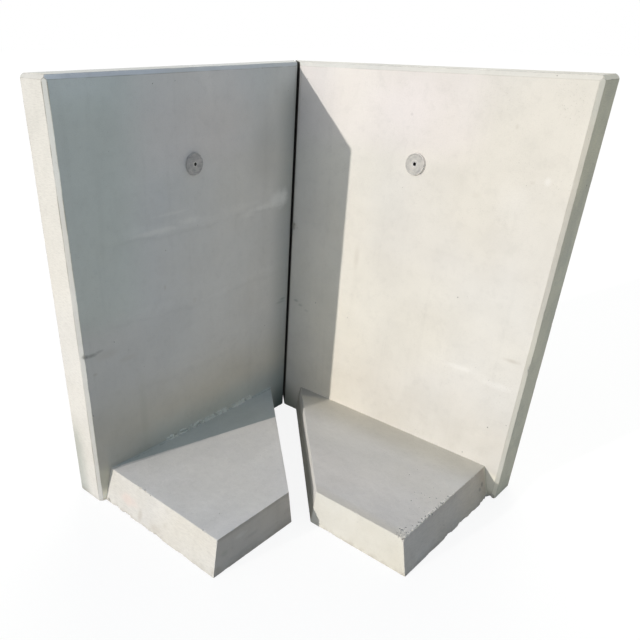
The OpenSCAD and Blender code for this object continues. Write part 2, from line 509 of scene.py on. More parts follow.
def ends_and_joint(colour, on, hand):
    """The drag of the mould's sides on the ends, and painted shade in and beside the joint."""
    drag = on.spot.grain((60.0, 60.0, 420.0), 3.0, 0.6)
    # Painted shade: the inner faces darken towards the joint's inside corner, most of all at its
    # foot.
    by_joint = on.inner_face * on.ragged_gap.rise(0.120, 0.004) * on.up.rise(1.19, 1.08)
    joint_foot_shade = (on.ragged_gap * 0.8 + on.up).rise(0.150, 0.020) * on.inner_face
    if hand == "right":
        crease_shade = (by_joint * 0.35, (0.78, 0.80, 0.83)), (joint_foot_shade * 0.90, (0.53, 0.57, 0.53))
    else:
        crease_shade = (by_joint, (0.73, 0.755, 0.75)), (joint_foot_shade * 0.9, (0.42, 0.50, 0.50))
    return colour.tint(
        (on.outer_end * drag.rise(0.50, 0.66) * 0.40, 0.82),
        (on.outer_end * drag.rise(0.50, 0.36) * 0.35, 1.12),
        *crease_shade,
        # Painted shade: the mitred faces inside the joint are darkened, the foot's lowest part
        # most, and the joint's gap is painted almost black.
        (on.mitred * (1.0 - on.past_stem), (0.66, 0.65, 0.62)),
        (on.mitred * on.past_stem * on.up.rise(0.085, 0.045), (0.54, 0.54, 0.50)),
        (on.gap.rise(0.0075, 0.0058), (0.16, 0.16, 0.15)))


def left_painted_shading_and_marks(colour, on):
    """The left hand: painted shade along its crease, in the stem's shadow on its foot and over
    its shaded wall, painted light on its chamfers, a darker toe, and a sunned end darker low by
    its back face.
    """
    along, out, up, inner_face, foot_top = on.along, on.out, on.up, on.inner_face, on.foot_top
    ragged_up = up + (on.blotch - 0.5) * 0.06
    # Painted shade: the wall darkens and turns bluer just above its crease with the foot.
    crease_shade = inner_face * ragged_up.rise(0.235, 0.110) * along.rise(0.464, 0.446)
    # Painted shadow where the stem shades its foot, and painted shade in a line under the bead.
    shadow = out - STEM_THICKNESS - (0.456 - along) * 0.27 + (on.mottle - 0.5) * 0.006
    crease = (out - 0.1235).size().rise(0.0050, 0.0015) * on.mottle.rise(0.44, 0.58)
    middle = along.rise(0.30, 0.16) * along.rise(-0.24, -0.08) * up.rise(0.90, 1.02)
    end_by_back_face = on.stem_end * out.rise(0.085, 0.010)
    line = on.end_chamfer * on.strip.rise(0.10, 0.60)
    line = line * (up.rise(0.45, 1.05) + up.rise(0.42, 0.16) * 0.6)
    return colour.tint(
        (crease_shade * (0.45 + along.rise(0.46, 0.20) * 0.55), (0.82, 0.90, 0.95)),
        (foot_top * shadow.rise(0.001, -0.006), (0.59, 0.66, 0.68)),
        (foot_top * crease, (0.76, 0.78, 0.78)),
        (on.toe, (0.885, 0.84, 0.81)),
        (on.toe * on.smears.rise(0.50, 0.66) * 0.60, (0.80, 0.80, 0.79)),
        (on.toe * on.smears.rise(0.44, 0.30) * 0.50, (1.16, 1.16, 1.15)),
        (on.toe * up.rise(0.090, 0.103) * on.blotch.rise(0.40, 0.54), (0.82, 0.82, 0.81)),
        # Painted light and shade on the shaded wall: bluer, and paler high up, as lit by the
        # sky; warmer low down, as lit back from the ground; greener and darker low towards its
        # end; much lighter beside the foot's end.
        (inner_face, (0.985, 0.985, 0.995)),
        (inner_face * up.rise(0.92, 1.02) * along.rise(0.02, -0.14), (0.94, 0.96, 0.985)),
        (inner_face * up.rise(0.42, 0.20), (0.95, 0.925, 0.86)),
        (inner_face * up.rise(0.35, 0.95) * along.rise(-0.15, 0.35), (0.955, 1.0, 1.055)),
        (inner_face * up.rise(0.52, 0.62) * along.rise(0.20, 0.36), (0.94, 0.98, 0.955)),
        (inner_face * up.rise(0.66, 0.36) * along.rise(0.12, 0.40), (0.89, 0.90, 0.92)),
        (inner_face * up.rise(1.06, 1.18), (1.06, 1.08, 1.09)),
        (inner_face * up.rise(1.12, 1.18) * along.rise(0.24, 0.40), (1.08, 1.07, 1.09)),
        (inner_face * middle, (1.08, 1.045, 1.045)),
        (on.beside_foot * up.rise(0.14, 0.10), (1.12, 1.14, 1.08)),
        (on.beside_foot * up.rise(0.055, 0.010), (1.90, 1.86, 1.84)),
        # The sunned end is lighter high up and darker low by its back face; its chamfer is
        # painted light, and the top and its chamfer are painted bluer, as lit by the sky.
        (on.foot_end * out.rise(0.30, 0.45), (1.06, 1.05, 1.02)),
        (on.stem_end * up.rise(1.10, 0.70), (1.05, 1.045, 1.04)),
        (end_by_back_face * up.rise(0.31, 0.17), (0.66, 0.70, 0.69)),
        (end_by_back_face * up.rise(0.050, 0.005), 0.86),
        (on.end_chamfer, (1.14, 1.145, 1.145)),
        (on.end_chamfer * up.rise(0.85, 1.00), (0.985, 1.01, 1.03)),
        (line * on.blotch.rise(0.34, 0.54), (0.52, 0.49, 0.44)),
        (on.top_face * along.rise(0.49, 0.44), (0.83, 0.87, 0.94)),
        (on.top_chamfer * along.rise(0.08, 0.20), (1.0, 1.03, 1.10)),
        (on.top_chamfer, (0.92, 0.97, 1.07)),
        (on.top_chamfer * along.rise(0.43, 0.48), (1.20, 1.20, 1.18)))


def right_painted_shading_and_marks(colour, on):
    """The right hand: painted light in and beside the left stem's shadow and on its shaded end
    and chamfers, painted shadow in its foot's nook, and a foot darker and warmer near its stem.
    """
    along, out, up, inner_face, foot_top = on.along, on.out, on.up, on.inner_face, on.foot_top
    nook = out - STEM_THICKNESS + (along + 0.165) * 0.55 + (on.mottle - 0.5) * 0.01
    return colour.tint(
        (inner_face, (1.035, 1.02, 0.995)),
        (inner_face * up.rise(0.36, 0.18), (0.985, 0.975, 0.955)),
        (inner_face * up.rise(0.94, 1.04) * along.rise(0.30, 0.16), (1.035, 1.015, 1.045)),
        (inner_face * up.rise(0.30, 0.42) * up.rise(0.72, 0.58), (1.025, 1.03, 1.03)),
        # Painted light: the wall in and beside the left stem's shadow is painted lighter.
        (inner_face * along.rise(-0.32, -0.20) * along.rise(0.06, -0.16), (1.09, 1.08, 1.05)),
        (foot_top * out.rise(0.285, 0.155), (0.84, 0.825, 0.765)),
        # Painted shadow: the left stem's shadow in the foot's nook by the joint, with painted
        # shade along its crease there.
        (foot_top * nook.rise(0.012, -0.018) * along.rise(-0.160, -0.185),
         (0.70, 0.71, 0.76)),
        (foot_top * out.rise(0.32, 0.48), (1.05, 1.04, 1.05)),
        (foot_top * out.rise(0.550, 0.585), (0.95, 0.94, 0.90)),
        (on.toe, (1.055, 1.05, 1.0)),
        # Painted light: the shaded outer end and foot end are tinted warm and olive, as lit back
        # from the ground, and the foot's end has lighter and darker bands across it.
        (on.foot_end, (1.01, 0.965, 0.945)),
        (on.foot_end * out.rise(0.52, 0.42), (0.97, 0.95, 0.92)),
        (on.foot_end * out.rise(0.34, 0.22), (1.09, 1.045, 0.96)),
        (on.foot_end * out.rise(0.19, 0.14), (0.90, 0.89, 0.87)),
        (on.foot_end * up.rise(0.080, 0.100), (0.95, 0.94, 0.94)),
        (on.stem_end, (1.08, 1.04, 0.875)),
        (on.stem_end * on.blotch.rise(0.50, 0.60) * 0.5, (0.89, 0.90, 0.93)),
        (on.stem_end * on.blotch.rise(0.48, 0.38) * 0.5, (1.10, 1.09, 1.06)),
        # Painted light: the end's chamfers are painted lighter, the top corner's facet most, for
        # the light from the sky above.
        (on.end_chamfer, (1.095, 1.06, 0.99)),
        (on.end_chamfer * up.rise(0.66, 0.58), (1.07, 1.08, 1.06)),
        (on.end_chamfer * up.rise(1.08, 1.14), (0.97, 1.0, 1.02)),
        (on.half_end * on.half_up, (1.50, 1.42, 1.27)),
        (on.end_chamfer * up.rise(0.075, 0.050), (1.10, 1.06, 1.0)),
        (on.top_face, (0.95, 0.95, 0.955)),
        (on.top_chamfer, (1.09, 1.08, 1.05)),
        # Painted light on the shaded strip of wall beside the foot's end, and painted shade at
        # its foot.
        (on.beside_foot * up.rise(0.100, 0.075), (1.17, 1.17, 1.11)),
        (on.beside_foot * up.rise(0.036, 0.012), (0.70, 0.68, 0.65)))


def soil_and_stains(colour, on, hand, soil):
    """Dust and soil towards the ground, and the stains."""
    low = on.up.rise(0.42, 0.05) * on.upright
    colour = colour.tint((low * (0.06 + on.blotch.rise(0.38, 0.66) * 0.12), (0.90, 0.84, 0.73)))
    splash = on.up.rise(0.018, 0.001) * on.upright * on.mottle.rise(0.36, 0.60)
    colour = colour.coats((splash * (0.20 if hand == "left" else 0.34), soil))
    ragged = (on.mottle - 0.5) * 0.9 + (on.sand - 0.5) * 0.5
    for *terms, stain, strength in STAINS[hand]:
        middle, half = in_metres(terms)
        offset = on.place.vector("SUBTRACT", middle).vector("DIVIDE", half)
        reach = offset.vector("LENGTH", None, 1) + ragged
        colour = colour.coats((reach.rise(1.10, 0.20) * strength, stain))
    return colour


def worn_places(colour, on, made, hand, base):
    """Sand and stone on worn arrises, crumbly patches, the dirt of strips and the bead."""
    broken = on.wear.rise(0.12, 0.75)
    fresh = made.constant(toned(base, 0.80, 0.77, 0.72)).coats(
        (on.stone.rise(0.50, 0.62) * 0.6, (0.33, 0.30, 0.26)))
    crumbs = on.spot.grain(260.0, 2.0, 0.6)
    crumbling = on.crumbly.rise(0.1, 0.5)
    strip_share = 0.34 if hand == "right" else 0.60
    colour = colour.blend(broken * 0.62, fresh).tint(
        (crumbling * crumbs.rise(0.54, 0.64) * 0.8, (1.46, 1.46, 1.44)),
        (crumbling * crumbs.rise(0.44, 0.34) * 0.7, (0.52, 0.51, 0.49)),
        (on.wear.rise(0.02, 0.10) * (1.0 - broken) * 0.30, 1.10),
        (on.strip.rise(0.25, 0.9) * on.blotch.rise(0.36, 0.56) * strip_share,
         (0.60, 0.58, 0.54)))
    bead = made.constant(toned(base, 0.96, 1.03, 1.01))
    return colour.blend(on.mortar.rise(0.25, 0.75) * 0.85, bead), broken


def concrete_finish(hand, settings):
    """Formed and trowelled concrete with its pour lines, dribbles, stains and wear."""
    made = Finish(hand + "_concrete")
    on = casting_masks(made, hand)
    colour = formed_skin(made.constant(settings.concrete), on)
    colour = trowel_marks_and_top_light(colour, on, hand)
    colour, relief = pour_lines(colour, on, hand)
    colour = ends_and_joint(colour, on, hand)
    colour = (right_painted_shading_and_marks if hand == "right" else left_painted_shading_and_marks)(colour, on)
    colour = soil_and_stains(colour, on, hand, settings.soil)
    colour, broken = worn_places(colour, on, made, hand, settings.concrete)

    clustered = on.spot.grain(11.0, 3.0, 0.6).rise(0.50, 0.68)
    # Painted shade: the tiny pinholes, which are only a bump, are darkened as the shade in them.
    pinholes = on.spot.cells(210.0).rise(0.17, 0.08) * (0.15 + clustered * 0.85)
    colour = colour.tint((on.sand.rise(0.56, 0.72) * 0.14, 0.62),
                         (on.sand.rise(0.42, 0.30) * 0.11, 1.2), (pinholes * 0.42, 0.35))
    roughness = (0.80 + (on.blotch - 0.5) * 0.16 + broken * 0.10
                 + (on.sand - 0.5) * 0.10).at_most(1.0)
    height = (relief + (on.mottle - 0.5) * (0.30 + on.upward * 0.45)
              + (on.sand - 0.5) * 0.32 + (on.grit - 0.5) * 0.10
              + (on.stone - 0.5) * (broken + on.mortar) * 1.6 - pinholes * 0.85)
    return made.surface(colour, roughness, height, 0.9 * MM, {"Specular IOR Level": 0.28})


def void_finish(hand, settings):
    """The inside of an air hole: rough cement, painted darker as the shade in the hole."""
    made = Finish(hand + "_void")
    base = settings.concrete
    lumps = made.place.grain(900.0, 3.0, 0.6)
    colour = made.constant(toned(base, 0.52)).coats(
        (lumps.rise(0.40, 0.62) * 0.5, toned(base, 0.30)))
    return made.surface(colour, 0.88 + (lumps - 0.5) * 0.2, lumps, 0.3 * MM,
                        {"Specular IOR Level": 0.2})


# The plate's collar steps down at this radius, where cement gathers.
COLLAR_EDGE = 10.5 * MM


def plate_finish(hand, settings):
    """Grey plastic under a thin, patchy film of cement, with painted light on the right plate's
    rim and painted shade on the left plate.
    """
    made = Finish(hand + "_socket_plate")
    spot = made.place.vector("SUBTRACT", socket_axis(hand)[0])
    radius = spot.vector("LENGTH", None, 1)
    film = spot.grain(75.0, 5.0, 0.65)
    fine = spot.grain(650.0, 3.0, 0.6)
    scratch = spot.grain((30.0, 30.0, 260.0), 3.0, 0.6)
    base = settings.plate_colour
    ring = (radius - COLLAR_EDGE).size().rise(2.6 * MM, 0.6 * MM)
    colour = made.constant(base).coats(
        (film.rise(0.40, 0.64) * 0.60, (0.60, 0.575, 0.53)),
        (film.rise(0.46, 0.34) * 0.35, toned(base, 0.72)),
        (scratch.rise(0.60, 0.72) * 0.25, (0.66, 0.64, 0.60)),
        (ring * (0.50 if hand == "right" else 0.10), (0.66, 0.64, 0.59)))
    if hand == "right":
        # Painted light: the shaded edge of the right plate's rim is painted pale.
        rim = radius.rise(28.4 * MM, 29.8 * MM)
        colour = colour.coats((rim * 0.85, (0.84, 0.79, 0.74)))
    else:
        # Painted shade: the left plate, in shade, is painted darker and bluer than the right
        # one.
        colour = colour.tint((0.9, (0.93, 0.925, 0.965)),
                             (scratch.rise(0.50, 0.62) * 0.8, (0.74, 0.74, 0.77)))
    colour = colour.coats((fine.rise(0.56, 0.70) * 0.22, toned(base, 0.6)))
    roughness = 0.62 + film.rise(0.40, 0.64) * 0.25 + (fine - 0.5) * 0.1
    height = (film - 0.5) * 0.7 + (fine - 0.5) * 0.35 + scratch.rise(0.6, 0.7) * 0.1
    return made.surface(colour, roughness, height, 0.5 * MM, {"Specular IOR Level": 0.35})


def zinc_finish(hand, settings):
    """Zinc plate gone dull, with white bloom and cement on it, and its bore painted near black
    with grime and painted shade.
    """
    made = Finish(hand + "_zinc")
    spot = made.place.vector("SUBTRACT", socket_axis(hand)[0])
    along, _, up, _ = wall_place(made, hand)
    radius = made.joined(along - SOCKET_ALONG, 0.0, up - SOCKET_UP).vector("LENGTH", None, 1)
    # Grime and painted shade: the bore within the thread is near black.
    bore_grime_and_shade = radius.rise(5.15 * MM, 4.95 * MM)
    tone = made.parts(spot.cells(420.0, "Color"))[0]
    bloom = spot.grain(240.0, 4.0, 0.65)
    fine = spot.grain(1400.0, 3.0, 0.6)
    base = settings.zinc_colour
    colour = made.constant(base).coats(
        (tone * 0.30, toned(base, 0.78)),
        (bloom.rise(0.44, 0.62) * 0.75, (0.72, 0.71, 0.67)),
        (bloom.rise(0.40, 0.30) * 0.35, (0.30, 0.22, 0.15)),
        (bore_grime_and_shade * 0.97, (0.020, 0.019, 0.018)))
    coated = (bloom.rise(0.42, 0.60) + bore_grime_and_shade).at_most(1.0)
    roughness = 0.40 + coated * 0.42 + (fine - 0.5) * 0.12
    height = coated * 0.5 + (fine - 0.5) * 0.3
    return made.surface(colour, roughness, height, 0.12 * MM, None, 0.75 - coated * 0.65)


# --- Objects


def place_in_scene(name, data):
    """A new object for a mesh, lamp or camera, linked to the scene."""
    made = bpy.data.objects.new(name, data)
    bpy.context.scene.collection.objects.link(made)
    return made


def smooth(mesh, angle):
    """Shade a mesh smooth, but for edges sharper than an angle."""
    for polygon in mesh.polygons:
        polygon.use_smooth = True
    mesh.set_sharp_from_angle(angle=math.radians(angle))


def check_closed(piece):
    """Stop if a piece has an open edge or is inside out."""
    bm = bmesh.new()
    bm.from_mesh(piece.data)
    gaps = sum(1 for e in bm.edges if not e.is_manifold)
    volume = bm.calc_volume(signed=True)
    bm.free()
    if gaps or volume <= 0:
        raise RuntimeError(f"{piece.name} has {gaps} open edges and volume {volume:.6f}")


# --- Castings: planar faces, re-meshed so that their arrises can wear

# Further than any two points of a casting are apart.
FAR = 9.0
# Points nearer than this are one, and faces whose normals' cosine is larger are one plane.
WELD = 0.01 * MM
SAME_PLANE = 0.999999
# Spacing of the points on a face's edges, and how far in the two rows beside them are.
EDGE_STEP = 3.2 * MM
FIRST_ROW, SECOND_ROW = 1.2 * MM, 3.1 * MM
# Distances from the face's edge, and the spacing of the mesh between them.
BANDS = (
    (5.0 * MM, 13.0 * MM, 3.7 * MM),
    (13.0 * MM, 28.0 * MM, 6.5 * MM),
    (28.0 * MM, 65.0 * MM, 11.0 * MM),
    (65.0 * MM, FAR, 18.0 * MM),
)
# A row's points keep this share of its distance from every edge, and the points further in
# are shifted by up to this share of their spacing.
ROW_CLEAR, JITTER = 0.97, 0.27

# How far from an arris or a crease its wear or mortar can reach, and how far past its ends.
ARRIS_REACH, CREASE_REACH = 26 * MM, 16 * MM
END_SLACK = 0.5 * MM
# The mortar in a crease: its width, its thickness where it is only a trace, the thickness
# at which it starts to show and how much more makes it show fully.
MORTAR_WIDTH, MORTAR_TRACE = 13 * MM, 0.9 * MM
MORTAR_SHOWS, MORTAR_FULL = 1.0 * MM, 2.5 * MM
# Each end of the left casting's bead: its place along the wall, and how long it tapers.
BEAD_ENDS = ((-0.205, 0.03), (0.245, 0.05))
# The waviness grows from none beside the socket's seat to full this far from it.
SEAT_FADE = 25 * MM
# Wear this deep counts as fully worn, and the dirt left by the mould's strips is this wide.
FULL_WEAR = 2.6 * MM
STRIP_WIDTH = 1.8 * MM


def welded_copy(node):
    """The node's loose triangles with their shared corners joined."""
    bm = bmesh.new()
    bm.from_mesh(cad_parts[node].data)
    bmesh.ops.remove_doubles(bm, verts=bm.verts, dist=WELD)
    bm.normal_update()
    for sequence in (bm.verts, bm.edges, bm.faces):
        sequence.ensure_lookup_table()
        sequence.index_update()
    return bm


def face_planes(bm, hand):
    """A plane number for each face, or None for the faces of the socket's hole."""
    plane_of = [None] * len(bm.faces)
    plain = []
    for face in bm.faces:
        corners = np.array([v.co for v in face.verts])
        along, _, up = in_wall_terms(hand, corners)
        from_axis = np.hypot(along - SOCKET_ALONG, up - SOCKET_UP)
        plain.append(from_axis.max() > SEAT_REACH)
    count = 0
    for face in bm.faces:
        if not plain[face.index] or plane_of[face.index] is not None:
            continue
        plane_of[face.index] = count
        waiting = [face]
        while waiting:
            near = waiting.pop()
            for edge in near.edges:
                for other in edge.link_faces:
                    if (plain[other.index] and plane_of[other.index] is None
                            and other.normal.dot(face.normal) > SAME_PLANE):
                        plane_of[other.index] = count
                        waiting.append(other)
        count += 1
    return plane_of, count


def from_segments(points, starts, ends):
    """Distance of each point from the nearest of some line segments."""
    nearest = np.full(len(points), FAR)
    for start, end in zip(starts, ends):
        run = end - start
        share = np.clip((points - start) @ run / (run @ run), 0, 1)
        gap = points - start - share[:, None] * run
        nearest = np.minimum(nearest, np.hypot(gap[:, 0], gap[:, 1]))
    return nearest


def inside_outline(points, starts, ends):
    """Whether each point is inside an outline, with its holes, given as segments."""
    inside = np.zeros(len(points), bool)
    x, y = points.T
    for (ax, ay), (bx, by) in zip(starts, ends):
        if ay == by:
            continue
        crosses = (ay > y) != (by > y)
        inside ^= crosses & (x < (bx - ax) * (y - ay) / (by - ay) + ax)
    return inside


def inner_points(starts, ends, rng):
    """Points over a flat face, close together at its edges and further apart inside."""
    kept = []
    for row, away in enumerate((FIRST_ROW, SECOND_ROW)):
        rows = []
        for start, end in zip(starts, ends):
            run = end - start
            length = np.hypot(*run)
            if length < 2 * EDGE_STEP:
                continue
            steps = max(1, round(length / EDGE_STEP))
            share = (np.arange(steps) + (0.5 if row == 0 else 0.0)) / steps
            side = np.array((-run[1], run[0])) / length
            line = start + share[:, None] * run
            rows += [line + side * away, line - side * away]
        if rows:
            points = np.concatenate(rows)
            points = points[inside_outline(points, starts, ends)]
            kept.append(points[from_segments(points, starts, ends) > away * ROW_CLEAR])
    low, high = np.minimum(starts, ends).min(0), np.maximum(starts, ends).max(0)
    for near, far, step in BANDS:
        xs, ys = (np.arange(a + step / 2, b, step) for a, b in zip(low, high))
        grid = np.stack(np.meshgrid(xs, ys), -1).reshape(-1, 2)
        grid = grid + rng.uniform(-JITTER, JITTER, grid.shape) * step
        grid = grid[inside_outline(grid, starts, ends)]
        away = from_segments(grid, starts, ends)
        kept.append(grid[(away >= near) & (away < far)])
    return np.concatenate(kept)


class Casting:
    """A casting's surface as points and triangles, with its arrises and creases."""

    def __init__(self, hand, node, seed):
        self.hand = hand
        self.rng = np.random.default_rng(seed)
        bm = welded_copy(node)
        self.points = [v.co.copy() for v in bm.verts]
        self.lean = [Vector() for _ in bm.verts]
        self.faces = []
        plane_of, count = face_planes(bm, hand)
        self.arrises, self.creases = [], []
        rows = self.split_edges(bm, plane_of)
        for plane in range(count):
            members = [f for f in bm.faces if plane_of[f.index] == plane]
            self.mesh_plane(members, plane_of, rows)
        for face in bm.faces:
            if plane_of[face.index] is None:
                self.faces.append([v.index for v in face.verts])
        bm.free()
        self.points = np.array(self.points)
        lean = np.array(self.lean)
        length = np.linalg.norm(lean, axis=1)
        length[length == 0] = 1.0
        self.lean = lean / length[:, None]
        self.flat = self.points.copy()
        self.marks = {name: np.zeros(len(self.points)) for name in MARKS}

    def split_edges(self, bm, plane_of):
        """New points along every edge between two planes, shared by both."""
        rows = {}
        for edge in bm.edges:
            first, second = (plane_of[f.index] for f in edge.link_faces)
            if first == second:
                continue
            a, b = edge.verts
            steps = max(1, round(edge.calc_length() / EDGE_STEP))
            row = [a.index]
            for i in range(1, steps):
                row.append(len(self.points))
                self.points.append(a.co.lerp(b.co, i / steps))
                self.lean.append(Vector())
            row.append(b.index)
            rows[edge.index] = row
            if first is None or second is None:
                continue
            one, two = edge.link_faces
            into = -(one.normal + two.normal).normalized()
            sides = np.array((one.normal, two.normal))
            corner = (np.array(a.co), np.array(b.co), np.array(into), sides)
            bulges = (two.calc_center_median() - a.co).dot(one.normal) < 0
            (self.arrises if bulges else self.creases).append(corner)
        return rows

    def mesh_plane(self, members, plane_of, rows):
        """Triangles over one plane, from its edges' points and new ones inside."""
        normal = members[0].normal.copy()
        origin = members[0].verts[0].co.copy()
        across = normal.orthogonal().normalized()
        upwards = normal.cross(across)
        axes = np.array((across, upwards))
        own = plane_of[members[0].index]
        rims = [e for f in members for e in f.edges
                if {plane_of[g.index] for g in e.link_faces} != {own}]

        def flat(place):
            return axes @ np.array(place - origin)

        starts = np.array([flat(e.verts[0].co) for e in rims])
        ends = np.array([flat(e.verts[1].co) for e in rims])
        used, local, links = [], {}, []
        for edge in rims:
            row = rows[edge.index]
            for index in row:
                if index not in local:
                    local[index] = len(used)
                    used.append(index)
                    self.lean[index] += normal
            links += [(local[i], local[j]) for i, j in zip(row, row[1:])]
        places = [Vector(flat(self.points[i])) for i in used]
        for point in inner_points(starts, ends, self.rng):
            used.append(len(self.points))
            places.append(Vector(point))
            self.points.append(origin + across * point[0] + upwards * point[1])
            self.lean.append(normal.copy())
        result = delaunay_2d_cdt(places, links, [], 1, 1e-7)
        corners, triangles, sources = result[0], result[2], result[3]
        if len(corners) != len(places):
            raise RuntimeError("a face of the casting couldn't be meshed cleanly")
        middles = np.array([sum((corners[i] for i in t), Vector((0, 0))) / 3
                            for t in triangles])
        keep = inside_outline(middles, starts, ends)
        for triangle, inside in zip(triangles, keep):
            if not inside:
                continue
            a, b, c = (corners[i] for i in triangle)
            turned = (b - a).cross(c - a) < 0
            face = [used[sources[i][0]] for i in triangle]
            self.faces.append(face[::-1] if turned else face)

    def mark(self, name, chosen, values):
        """Raise one of the surface's marks at some points, never lower it."""
        marks = self.marks[name]
        marks[chosen] = np.maximum(marks[chosen], values)

    def rough(self, chosen, scale, octaves=3, shift=0.0):
        """Fractal noise at some of the points, scale times a metre, about -1 to 1."""
        offset = Vector((shift, 7.3 * shift, 17.1))
        return np.array([noise.fractal(Vector(p) * scale + offset, 1.0, 2.0, octaves)
                         for p in self.flat[chosen]])

    def undulate(self, waviness, trowelling, seed):
        """Formed faces wander a little from flat, and the trowelled foot more so."""
        every = np.arange(len(self.points))
        broad = self.rough(every, 6.0, 3, seed)
        close = self.rough(every, 34.0, 3, seed + 3)
        along, out, up = in_wall_terms(self.hand, self.points)
        on_foot = (self.lean[:, 2] > 0.9) & (up < 0.2)
        under = up < WELD
        amount = np.where(on_foot, trowelling * (0.75 * broad + 0.30 * close),
                          waviness * (broad + 0.35 * close))
        from_socket = np.hypot(along - SOCKET_ALONG, up - SOCKET_UP)
        amount *= np.clip((from_socket - SEAT_REACH) / SEAT_FADE, 0, 1)
        amount[under] = 0.0
        self.points += self.lean * amount[:, None]

    def beside(self, start, end, sides, reach):
        """Points of the two faces along an edge, their feet on it and gaps from it."""
        run = end - start
        share = (self.flat - start) @ run / (run @ run)
        slack = END_SLACK / np.linalg.norm(run)
        foot = start + np.clip(share, 0, 1)[:, None] * run
        gap = self.flat - foot
        level = np.abs((self.flat - start) @ sides.T).min(axis=1) < WELD
        close = np.einsum("ij,ij->i", gap, gap) < reach ** 2
        return foot, gap, np.flatnonzero(
            level & close & (share > -slack) & (share < 1 + slack))

    def break_arrises(self, wear, chip_depth, seed):
        """Each arris is worn all along, chipped here and there and knocked in places."""
        chips = [(np.array(on_wall(self.hand, *middle)), reach, depth)
                 for *middle, reach, depth in np.array(CHIPS[self.hand]) * MM]
        for start, end, into, sides in self.arrises:
            foot, gap, near = self.beside(start, end, sides, ARRIS_REACH)
            if not len(near):
                continue
            # A blunter arris loses less: 1 where the faces meet square.
            half_turn = 0.5 * math.acos(np.clip(sides[0] @ sides[1], -1, 1))
            keenness = min(1.0, (1 / math.cos(half_turn) - 1) / (math.sqrt(2) - 1))
            deep = gap[near] @ into
            ragged = self.rough(near, 230.0, 3, seed + 5)
            chippy = self.rough(near, 42.0, 3, seed + 9)
            rare = self.rough(near, 7.0, 2, seed + 13)
            cut = wear * (1.0 + 0.5 * ragged)
            common = np.clip(chippy + 0.45 * rare - 0.46, 0, 1) / 0.5
            cut += chip_depth * np.clip(common, 0, 1) * (0.8 + 0.6 * ragged)
            small = np.clip(self.rough(near, 120.0, 2, seed + 17) - 0.42, 0, 1) / 0.4
            cut += 0.35 * chip_depth * np.clip(small, 0, 1)
            cut *= keenness
            for middle, reach, depth in chips:
                apart = np.linalg.norm(foot[near] - middle, axis=1) / reach
                inner = np.clip(1.0 - apart ** 2, 0, 1)
                if inner.any():
                    cut += depth * inner ** 0.45 * (0.80 + 0.75 * ragged + 0.5 * chippy)
            moved = np.clip(cut - deep, 0, None)
            self.points[near] += into * moved[:, None]
            self.mark("wear", near, moved / FULL_WEAR)
            if keenness < 0.5:
                away = np.linalg.norm(gap[near], axis=1)
                self.mark("strip", near, np.clip(1 - away / STRIP_WIDTH, 0, 1))
        self.points[:, 2] = np.maximum(self.points[:, 2], 0.0)

    def fill_creases(self, bead_size, seed):
        """A rough bead of mortar where the left foot meets its stem, and a trace elsewhere."""
        for start, end, into, sides in self.creases:
            run = end - start
            if abs(run[2]) > 0.5 * np.linalg.norm(run):
                continue
            foot, gap, near = self.beside(start, end, sides, CREASE_REACH)
            away = np.linalg.norm(gap[near], axis=1)
            ragged = self.rough(near, 190.0, 3, seed + 21)
            lumpy = self.rough(near, 60.0, 3, seed + 23)
            along, _, _ = in_wall_terms(self.hand, self.points[near])
            trace = MORTAR_TRACE * (1 + 0.6 * ragged)
            (low, low_fade), (high, high_fade) = BEAD_ENDS
            reach = (np.clip((high - along) / high_fade, 0, 1)
                     * np.clip((along - low) / low_fade, 0, 1))
            lumps = np.clip(0.56 + 1.5 * lumpy + 0.7 * ragged, 0.0, 1.20) * reach
            size = trace + (bead_size * lumps if self.hand == "left" else 0.0)
            bulge = size * np.clip(1 - away / MORTAR_WIDTH, 0, 1)
            self.points[near] -= into * bulge[:, None]
            self.mark("mortar", near, np.clip((bulge - MORTAR_SHOWS) / MORTAR_FULL, 0, 1))

    def crumble(self):
        """Mark the patches where small pits crowd together."""
        terms = np.array(in_wall_terms(self.hand, self.flat)).T
        for *patch, share in CRUMBLY[self.hand]:
            middle, half = in_metres(patch)
            away = np.linalg.norm((terms - middle) / half, axis=1)
            self.mark("crumbly", slice(None), share * np.clip(3.0 * (1 - away), 0, 1))

    def as_object(self, name):
        """A mesh object of the casting, with its marks kept for the material."""
        mesh = bpy.data.meshes.new(name)
        mesh.from_pydata(self.points.tolist(), [], self.faces)
        for mark, values in self.marks.items():
            kept = mesh.attributes.new(mark, "FLOAT", "POINT")
            kept.data.foreach_set("value", values.astype(np.float32))
        return place_in_scene(name, mesh)


# --- Air holes, cut by Geometry Nodes

HOLE_SPACING = 7 * MM
HOLE_SEGMENTS, HOLE_RINGS = 9, 5
SINK_SEED = 77
# Holes keep off the plate and the ground. Their number grows from none to full between
# these distances from the plate's middle, and between these heights.
OFF_PLATE = (0.040, 0.046)
OFF_GROUND = (0.004, 0.008)


